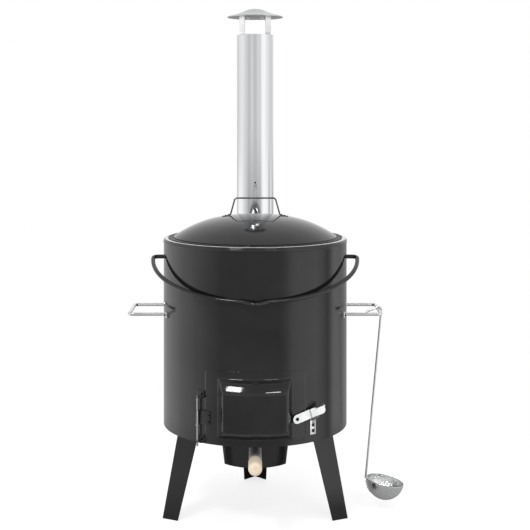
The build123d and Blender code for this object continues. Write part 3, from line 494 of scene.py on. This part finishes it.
for finish, names in finish_of.items():
    for name in names.split():
        for place in nodes[name].material_slots:
            place.material = finish
dressed = sum(len(names.split()) for names in finish_of.values())
print("parts with a finish:", dressed, "of", len(nodes))

# %% [markdown]
# ## Softer edges on cut sheet
# Real cut sheet has no knife edges: a small round catches the light along every edge. The packed
# meshes come with doubled points, so they are welded first, and then only edges that turn sharply
# are rounded.

# %% Round the cut edges
def soften(name, width):
    part = nodes[name]
    weld = part.modifiers.new("weld", "WELD")
    weld.merge_threshold = 0.01 * mm
    round_over = part.modifiers.new("round", "BEVEL")
    round_over.width = width
    round_over.segments = 2
    round_over.limit_method = "ANGLE"
    round_over.angle_limit = radians(38)
    round_over.use_clamp_overlap = True
    round_over.harden_normals = False


edges = {
    0.9 * mm: "ash_cup",
    0.5 * mm: "latch_lever latch_catch hinge_lug_upper hinge_lug_lower leg_left leg_right leg_rear "
              "flue_flange",
    0.25 * mm: "cap_struts bayonet_hooks",
}
for width, names in edges.items():
    for name in names.split():
        soften(name, width)
print("parts with softened edges:", sum(len(names.split()) for names in edges.values()))

# %% [markdown]
# ## Making meshes
# Two makers are enough for most of the extra pieces: one turns a profile round an axis, and one
# sweeps a round section along a path. Every extra piece then gets smooth shading, a finish, and a
# body of the stove to ride on.

# %% Makers for extra pieces
def keep(name, bm, finish, body, stands_for=()):
    bmesh.ops.recalc_face_normals(bm, faces=bm.faces)
    mesh = bpy.data.meshes.new(name)
    bm.to_mesh(mesh)
    bm.free()
    mesh.shade_smooth()
    mesh.materials.append(finish)
    piece = bpy.data.objects.new(name, mesh)
    bpy.context.scene.collection.objects.link(piece)
    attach(piece, body)
    if stands_for:
        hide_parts(*stands_for)
    print(name, "has", len(mesh.polygons), "faces and rides on", body)
    return piece


def join_rings(bm, pairs):
    for low, high in pairs:
        for step in range(len(low)):
            after = (step + 1) % len(low)
            bm.faces.new((low[step], low[after], high[after], high[step]))


def turn(bm, profile, steps, place=Matrix()):
    rings = []
    for radius, height in profile:
        ring = []
        for step in range(steps):
            angle = 2 * pi * step / steps
            point = Vector((radius * cos(angle), radius * sin(angle), height))
            ring.append(bm.verts.new(place @ point))
        rings.append(ring)
    join_rings(bm, list(zip(rings, rings[1:])))


def sweep(bm, path, radius, sides=10, closed=False):
    rings = []
    points = [Vector(point) for point in path]
    sizes = radius if isinstance(radius, list) else [radius] * len(points)
    side = None
    for index, point in enumerate(points):
        ahead = points[(index + 1) % len(points)] if closed or index + 1 < len(points) else point
        behind = points[index - 1] if closed or index else point
        along = (ahead - behind).normalized()
        if side is None:
            side = along.orthogonal().normalized()
        side = (side - along * side.dot(along)).normalized()
        up = along.cross(side)
        ring = []
        for step in range(sides):
            angle = 2 * pi * step / sides
            ring.append(bm.verts.new(point + (side * cos(angle) + up * sin(angle)) * sizes[index]))
        rings.append(ring)
    pairs = list(zip(rings, rings[1:]))
    if closed:
        pairs.append((rings[-1], rings[0]))
    join_rings(bm, pairs)
    if not closed:
        bm.faces.new(rings[0][::-1])
        bm.faces.new(rings[-1])


def on_drum(azimuth, height, radius):
    angle = radians(azimuth)
    return Vector((radius * sin(angle), -radius * cos(angle), height))


print("makers ready")

# %% [markdown]
# ## The fire door
# The door is one sheet, pressed so that a box stands out of it. A press can't make sharp corners:
# each fold is a round. So the door is laid out as a grid over the drum's curve, and a formula says
# how far each point is pressed out. Four ramps rise from the four sides of the box, and a fifth
# bevels its upper edge. A soft minimum joins them and a soft maximum joins the box to the sheet,
# which rounds every fold the way that a press does. The grid then gets its thickness from a
# Solidify modifier.

# %% Press the door
door_radius = drum_radius + 0.3 * mm
door_half_angle = 30.92
door_reach = 0.9 * mm
door_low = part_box("door_panel")[0].z - door_reach
door_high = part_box("door_panel")[1].z + door_reach
door_corner = 8.7 * mm
box_depth = 24.9 * mm
box_foot_angle, box_face_angle = 21.9, 17.1
box_foot_low, box_foot_high = 229.3 * mm, 366.0 * mm
box_low_ramp, box_high_ramp = 20.1 * mm, 17.0 * mm
box_bevel_low, box_bevel_slope = 338.5 * mm, 0.652
fold_softness, foot_softness = 0.05, 0.06
fold_width, fold_share, fold_steps = 5 * mm, 0.045, 6
upper_fold = box_foot_high - 13 * mm


def soft_least(values, softness):
    return -softness * log(sum(exp(-value / softness) for value in values))


def soft_most(values, softness):
    return softness * log(sum(exp(value / softness) for value in values))


def pressed_out(azimuth, height):
    side_ramp = box_foot_angle - box_face_angle
    ramps = [
        (box_foot_angle - abs(azimuth)) / side_ramp,
        (height - box_foot_low) / box_low_ramp,
        (box_foot_high - height) / box_high_ramp,
        1.0 - (height - box_bevel_low) * box_bevel_slope / box_depth,
        1.0,
    ]
    return box_depth * soft_most([soft_least(ramps, fold_softness), 0.0], foot_softness)


def corner_inset(height):
    edge = min(height - door_low, door_high - height)
    if edge >= door_corner:
        return 0.0
    return degrees((door_corner - sqrt(door_corner**2 - (door_corner - edge) ** 2)) / door_radius)


def fine_steps(low, high, steps, folds, width):
    places = [low + (high - low) * step / steps for step in range(steps + 1)]
    for fold in folds:
        places += [fold + width * step / fold_steps for step in range(-fold_steps, fold_steps + 1)]
    return sorted(place for place in places if low <= place <= high)


side_folds = []
for side in (-1, 1):
    for angle in (box_foot_angle, box_face_angle):
        side_folds.append(side * angle / door_half_angle)
columns = fine_steps(-1, 1, 60, side_folds, fold_share)
folds = [box_foot_low, box_foot_low + box_low_ramp, box_bevel_low, upper_fold, box_foot_high]
rows = fine_steps(door_low, door_high, 50, folds, fold_width)
for inset in (0.4 * mm, 1.6 * mm):
    rows += [door_low + inset, door_high - inset]
door = bmesh.new()
grid = []
for height in sorted(rows):
    reach = door_half_angle - corner_inset(height)
    line = []
    for share in columns:
        azimuth = reach * share
        radius = door_radius + pressed_out(azimuth, height)
        line.append(door.verts.new(on_drum(azimuth, height, radius)))
    grid.append(line)
for low, high in zip(grid, grid[1:]):
    for left in range(len(columns) - 1):
        door.faces.new((low[left], low[left + 1], high[left + 1], high[left]))
door_skin = keep("door_skin", door, enamel, "fire_door", ["door_panel"])
door_skin.data.materials.append(soot)
thickness = door_skin.modifiers.new("sheet", "SOLIDIFY")
thickness.thickness = sheet
thickness.offset = -1
thickness.material_offset = 1
box_middle = (box_foot_low + box_foot_high) / 2
print("box stands out", round(pressed_out(0, box_middle) / mm, 1), "mm")

# %% [markdown]
# ## The rolled shoulder
# Under the ring the sheet is rolled over a wire, which leaves a low round shoulder. It stands out
# by only a millimetre, yet it catches the lamps as short bright dashes, so it is worth a thin ring
# of its own.

# %% Roll the shoulder
shoulder = bmesh.new()
shoulder_height = 657.6 * mm
shoulder_sink, shoulder_bulge, shoulder_half_height = 0.35 * mm, 1.35 * mm, 3.6 * mm
arc_steps = 12
arc = []
for step in range(arc_steps + 1):
    angle = -pi / 2 + pi * step / arc_steps
    radius = drum_radius - shoulder_sink + shoulder_bulge * cos(angle)
    arc.append((radius, shoulder_height + shoulder_half_height * sin(angle)))
turn(shoulder, arc, 240)
keep("drum_shoulder", shoulder, enamel, "stand")

# %% [markdown]
# ## Handle bolts
# Each side handle is held by two bolts, one near each end. Seen from the front they are the small
# dark dots with a light collar at the drum's edge. A bolt here is a bright washer with a dark round
# head that has a socket, and all four are turned the same way, about an axis square to the drum.

# %% Make the handle bolts
bolt_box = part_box("side_handle_bolts")
bolt_height = (bolt_box[0].z + bolt_box[1].z) / 2
bolt_angle = 69.98
pad_radius = drum_radius + 4 * mm


def facing_out(azimuth, height, radius):
    angle = radians(azimuth)
    outward = Vector((sin(angle), -cos(angle), 0))
    across = Vector((cos(angle), sin(angle), 0))
    turned = Matrix((across, outward.cross(across), outward)).transposed().to_4x4()
    return Matrix.Translation(outward * radius + Vector((0, 0, height))) @ turned


washer = [(0.0, 0.9), (5.2, 0.9), (5.45, 0.6), (5.45, -0.3)]
socket = [(0.0, 0.9), (2.0, 0.9), (2.0, 2.3)]
head = socket + [(2.25, 2.55), (3.3, 2.4), (4.0, 1.9), (4.3, 1.2), (4.3, 0.8)]
washers, heads = bmesh.new(), bmesh.new()
for side in (-1, 1):
    for azimuth in (bolt_angle, 180 - bolt_angle):
        place = facing_out(side * azimuth, bolt_height, pad_radius - 0.15 * mm)
        for bm, profile, steps in ((washers, washer, 40), (heads, head, 36)):
            turn(bm, [(radius * mm, height * mm) for radius, height in profile], steps, place)
keep("handle_washers", washers, zinc, "stand")
keep("handle_bolt_heads", heads, rivet_black, "stand", ["side_handle_bolts"])

# %% [markdown]
# ## Weld beads
# The handles and the flue's collar and elbow are welded on, and the drum's sheet is closed by a
# seam at the back. A hand-laid bead is a row of small overlapping ripples, so the swept bead's
# thickness goes up and down along its path.

# %% Lay the weld beads
def bead(bm, path, radius, ripple=0.22, pitch=2.6 * mm):
    points = [Vector(point) for point in path]
    length, sizes = 0.0, []
    for index, point in enumerate(points):
        length += (point - points[index - 1]).length if index else 0.0
        ends = min(1.0, 0.35 + 0.65 * min(index, len(points) - 1 - index) / 3)
        sizes.append(radius * ends * (1 + ripple * sin(2 * pi * length / pitch)))
    sweep(bm, points, sizes, 8)


def ring_path(centre, across, up, radius, end, steps):
    path = []
    for step in range(steps + 1):
        angle = radians(end * step / steps)
        path.append(centre + across * radius * cos(angle) + up * radius * sin(angle))
    return path


right, back, up = Vector((1, 0, 0)), Vector((0, 1, 0)), Vector((0, 0, 1))
collar_low, collar_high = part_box("flue_collar")
collar_radius = (collar_high.x - collar_low.x) / 2
flue_height = (collar_high.z + collar_low.z) / 2
weld_steps, elbow_weld, flange_weld = 240, 1.3 * mm, 1.5 * mm
bead_sink = 0.2 * mm
welds = bmesh.new()
elbow_start = Vector((0, collar_high.y, flue_height))
elbow_end = Vector((0, pipe_y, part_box("flue_elbow")[1].z))
for centre, across in ((elbow_start, up), (elbow_end, back)):
    bead(welds, ring_path(centre, right, across, collar_radius, 360, weld_steps), elbow_weld)
flange_radius = drum_radius + 2 * mm
flange_path = []
for step in range(weld_steps + 1):
    angle = 2 * pi * step / weld_steps
    x = collar_radius * cos(angle)
    y = sqrt(flange_radius**2 - x**2)
    flange_path.append((x, y, flue_height + collar_radius * sin(angle)))
bead(welds, flange_path, flange_weld)
keep("flue_welds", welds, rod_enamel, "stand")

seam_steps, seam_weld, seam_ripple = 200, 1.5 * mm, 0.18
seam_stretches = ((216 * mm, 488 * mm), (634 * mm, 655 * mm))
seam = bmesh.new()
for low, high in seam_stretches:
    path = []
    for step in range(seam_steps + 1):
        height = low + (high - low) * step / seam_steps
        path.append(on_drum(180, height, drum_radius - bead_sink))
    bead(seam, path, seam_weld, seam_ripple)
keep("drum_seam", seam, enamel, "stand")

handle_welds = bmesh.new()
handle_half_span, handle_end, handle_weld = 68.8 * mm, 4.3 * mm, 1.0 * mm
for side in (-1, 1):
    for end in (-1, 1):
        x = side * sqrt((pad_radius - bead_sink) ** 2 - handle_half_span**2)
        centre = Vector((x, end * handle_half_span, bolt_height))
        bead(handle_welds, ring_path(centre, back, up, handle_end, 360, 36), handle_weld)
keep("handle_welds", handle_welds, handle_chrome, "stand")

# %% [markdown]
# ## Seams and rolled edges on the bright sheet
# The pipe is a folded sheet whose lock seam runs up its back. The cap's edge and the ladle's lip
# are rolled so that nobody is cut. Each is a thin piece that lies on the sheet.

# %% Fold the pipe's seam and roll the edges
fold = bmesh.new()
seam_half, seam_rise = 4.5 * mm, 0.9 * mm
half_outline = [(seam_half, -0.4 * mm), (seam_half, seam_rise * 0.7), (seam_half * 0.85, seam_rise)]
outline = [(-x, rise) for x, rise in half_outline] + half_outline[::-1]
seam_rings = []
for height in (pipe_low.z + 6 * mm, pipe_high.z - 4 * mm):
    ring = []
    for x, rise in outline:
        ring.append(fold.verts.new((x, pipe_y + sqrt(pipe_radius**2 - x**2) + rise, height)))
    seam_rings.append(ring)
low, high = seam_rings
for index in range(len(outline) - 1):
    fold.faces.new((low[index], low[index + 1], high[index + 1], high[index]))
fold.faces.new(low[::-1])
fold.faces.new(high)
keep("pipe_seam", fold, pipe_steel, "chimney")

hem = bmesh.new()
hem_inset, hem_steps = 1.0 * mm, 240
hem_centre = Vector((0, pipe_y, cap_low.z + hem_inset))
last_step = 360 * (hem_steps - 1) / hem_steps
hem_path = ring_path(hem_centre, right, back, cap_radius - hem_inset, last_step, hem_steps - 1)
sweep(hem, hem_path, 0.95 * mm, closed=True)
keep("cap_hem", hem, cap_steel, "cowl")

lip = bmesh.new()
bowl_centre = Vector((320 * mm, -8 * mm, 68 * mm))
bowl_radius, bowl_tilt = 45.4 * mm, radians(11)
lip_drop, lip_steps = 0.6 * mm, 144
lip_across = Vector((cos(bowl_tilt), 0, -sin(bowl_tilt)))
lip_centre = bowl_centre - Vector((sin(bowl_tilt), 0, cos(bowl_tilt))) * lip_drop
last_step = 360 * (lip_steps - 1) / lip_steps
lip_path = ring_path(lip_centre, lip_across, back, bowl_radius, last_step, lip_steps - 1)
sweep(lip, lip_path, 0.75 * mm, closed=True)
keep("ladle_lip", lip, ladle_steel, "ladle")

# %% [markdown]
# ## The studio floor
# The stove stands on a sheet of pale paper. The paper fades out about a metre from the stove, so
# that no horizon shows, and the little glow that the camera sees on it lifts it to white while the
# stove's own shadow stays.

# %% Lay the floor
paper_half, fade_start, fade_end = 1.3, 0.5, 1.05
paper_glow = 0.78
paper_tones = (0.925,) * 3, (0.94,) * 3
paper_in_mirrors, paper_in_camera = (0.5,) * 3, (0.37,) * 3
floor_mesh = bmesh.new()
bmesh.ops.create_grid(floor_mesh, x_segments=8, y_segments=8, size=paper_half)
floor_data = bpy.data.meshes.new("studio_floor")
floor_mesh.to_mesh(floor_data)
floor_mesh.free()
floor = bpy.data.objects.new("studio_floor", floor_data)
bpy.context.scene.collection.objects.link(floor)
floor_finish, floor_tree, floor_surface = new_finish("studio_paper", (0.93, 0.93, 0.93), roughness=0.9)
path_kind = floor_tree.nodes.new("ShaderNodeLightPath")
paper = between(floor_tree, noise(floor_tree, 3, detail=2), 0, 1)
paper = mixed(floor_tree, paper, *paper_tones)
paper = mixed(floor_tree, path_kind.outputs["Is Glossy Ray"], paper, paper_in_mirrors)
paper = mixed(floor_tree, path_kind.outputs["Is Camera Ray"], paper, paper_in_camera)
floor_tree.links.new(paper, floor_surface.inputs["Base Color"])
floor_surface.inputs["Specular IOR Level"].default_value = 0.0
floor_surface.inputs["Emission Color"].default_value = (1, 1, 1, 1)
glow = compute(floor_tree, "MULTIPLY", path_kind.outputs["Is Camera Ray"], paper_glow)
floor_tree.links.new(glow, floor_surface.inputs["Emission Strength"])
fade = between(floor_tree, radius_of(floor_tree), 1, 0, fade_start, fade_end)
floor_tree.links.new(fade, floor_surface.inputs["Alpha"])
floor_data.materials.append(floor_finish)
print("floor laid, side in m:", round(floor.dimensions.x, 1))

# %% [markdown]
# ## The studio walls
# The walls are the world itself. What the camera sees of them is plain white, what a soft surface
# gathers from them is plain light, and what a mirror sees is the same white room with its panels. A
# photographer places such panels on purpose, because glossy black enamel shows nothing but its
# surroundings. Two tables give the panels' brightness by azimuth, in degrees from the front: one
# for the low panels that the drum mirrors, and one for the upper walls that the pipe, the cap and
# the lid mirror. The room is darker round the camera, with a broad soft panel on the left and a
# sharper one, cut by a dark post, on the right. The ceiling is darker towards the front, so that
# the door's upper slope stays as dark as its face.

# %% Paint the studio's walls
world = bpy.data.worlds.new("white_studio")
bpy.context.scene.world = world
world.use_nodes = True
room = world.node_tree
direction = room.nodes.new("ShaderNodeSeparateXYZ")
room.links.new(room.nodes.new("ShaderNodeTexCoord").outputs["Generated"], direction.inputs[0])
toward_front = compute(room, "MULTIPLY", direction.outputs["Y"], -1)
azimuth_seen = compute(room, "ARCTAN2", direction.outputs["X"], toward_front)
turn_round = between(room, azimuth_seen, 0, 1, -pi, pi)
brightest = 1.25
soft_light, camera_white = 0.7, 1.0
ceiling_front, ceiling_back = 0.45, 0.8
low_panels = {
    -180: 0.45, -150: 0.7, -115: 1.2, -88: 1.15, -60: 0.74, -42: 0.46, 30: 0.47, 38: 0.65,
    47: 1.1, 56: 1.22, 80: 1.2, 91: 0.86, 101: 0.43, 114: 1.1, 132: 0.6, 162: 0.43,
}
high_panels = {
    -180: 0.95, -148: 0.7, -112: 0.9, -85: 1.03, -60: 0.84, -38: 0.66, -20: 0.86, -6: 0.7,
    6: 0.7, 18: 0.9, 30: 0.8, 44: 1.2, 57: 1.24, 76: 1.0, 120: 0.7, 180: 0.95,
}


def grey(level):
    return (*[level / brightest] * 3,)


def panel_ring(levels):
    ramp = room.nodes.new("ShaderNodeValToRGB")
    room.links.new(turn_round, ramp.inputs["Fac"])
    stops = ramp.color_ramp.elements
    while len(stops) < len(levels):
        stops.new(0.5)
    for stop, (azimuth, level) in zip(stops, levels.items()):
        stop.position = (azimuth + 180) / 360
        stop.color = (*grey(level), 1)
    return ramp.outputs["Color"]


horizon_blend, ceiling_blend, front_blend = (-0.087, -0.017), (0.35, 0.85), (-0.3, 0.4)
height = direction.outputs["Z"]
above_low = between(room, height, 0, 1, *horizon_blend)
above_walls = between(room, height, 0, 1, *ceiling_blend)
toward_back = between(room, direction.outputs["Y"], 0, 1, *front_blend)
walls = mixed(room, above_low, panel_ring(low_panels), panel_ring(high_panels))
ceiling = mixed(room, toward_back, grey(ceiling_front), grey(ceiling_back))
mirror_walls = mixed(room, above_walls, walls, ceiling)


def wall_light(colour, strength):
    shader = room.nodes.new("ShaderNodeBackground")
    if isinstance(colour, tuple):
        shader.inputs["Color"].default_value = (*colour, 1)
    else:
        room.links.new(colour, shader.inputs["Color"])
    shader.inputs["Strength"].default_value = strength
    return shader.outputs[0]


def choose(factor, otherwise, chosen):
    node = room.nodes.new("ShaderNodeMixShader")
    room.links.new(factor, node.inputs[0])
    room.links.new(otherwise, node.inputs[1])
    room.links.new(chosen, node.inputs[2])
    return node.outputs[0]


ray = room.nodes.new("ShaderNodeLightPath")
mirror_ray = compute(room, "MAXIMUM", ray.outputs["Is Glossy Ray"], ray.outputs["Is Transmission Ray"])
white = (1, 1, 1)
light = choose(mirror_ray, wall_light(white, soft_light), wall_light(mirror_walls, brightest))
light = choose(ray.outputs["Is Camera Ray"], light, wall_light(white, camera_white))
room.links.new(light, room.nodes["World Output"].inputs["Surface"])
print("stops of the wall panels:", len(low_panels) + len(high_panels))

# %% [markdown]
# ## The lamps
# The walls give most of the light, so the lamps have little to do: they put the small highlights on
# the enamel. Both hang above the camera. The left one is broad: it makes the bright patch on the
# door's upper fold and the dash on the shoulder. The right one is narrow and makes thin lines. The
# pipe mirrors both into the lid, where they show once more as a pair of small spots.

# %% Hang the lamps
aim = Vector((0, 0.1, 0.95))
lamp_distance = 8.0


def lamp(name, azimuth, elevation, width, depth, radiance):
    data = bpy.data.lights.new(name, "AREA")
    data.shape = "RECTANGLE"
    data.size, data.size_y = width, depth
    data.energy = radiance * pi * width * depth
    side, rise = radians(azimuth), radians(elevation)
    toward = Vector((cos(rise) * sin(side), -cos(rise) * cos(side), sin(rise)))
    obj = bpy.data.objects.new(name, data)
    obj.location = aim + toward * lamp_distance
    obj.rotation_euler = (-toward).to_track_quat("-Z", "Y").to_euler()
    obj.visible_camera = False
    bpy.context.scene.collection.objects.link(obj)
    print(name, "power in watts:", round(data.energy, 2))


lamp("left_lamp", azimuth=-29, elevation=46, width=1.9, depth=1.1, radiance=30)
lamp("right_lamp", azimuth=23, elevation=40, width=2.0, depth=0.4, radiance=24)

# %% [markdown]
# ## Last setting
# The view transform is the plain one, so that a colour is shown as it was written.

# %% Finish
bpy.context.scene.view_settings.view_transform = "Standard"
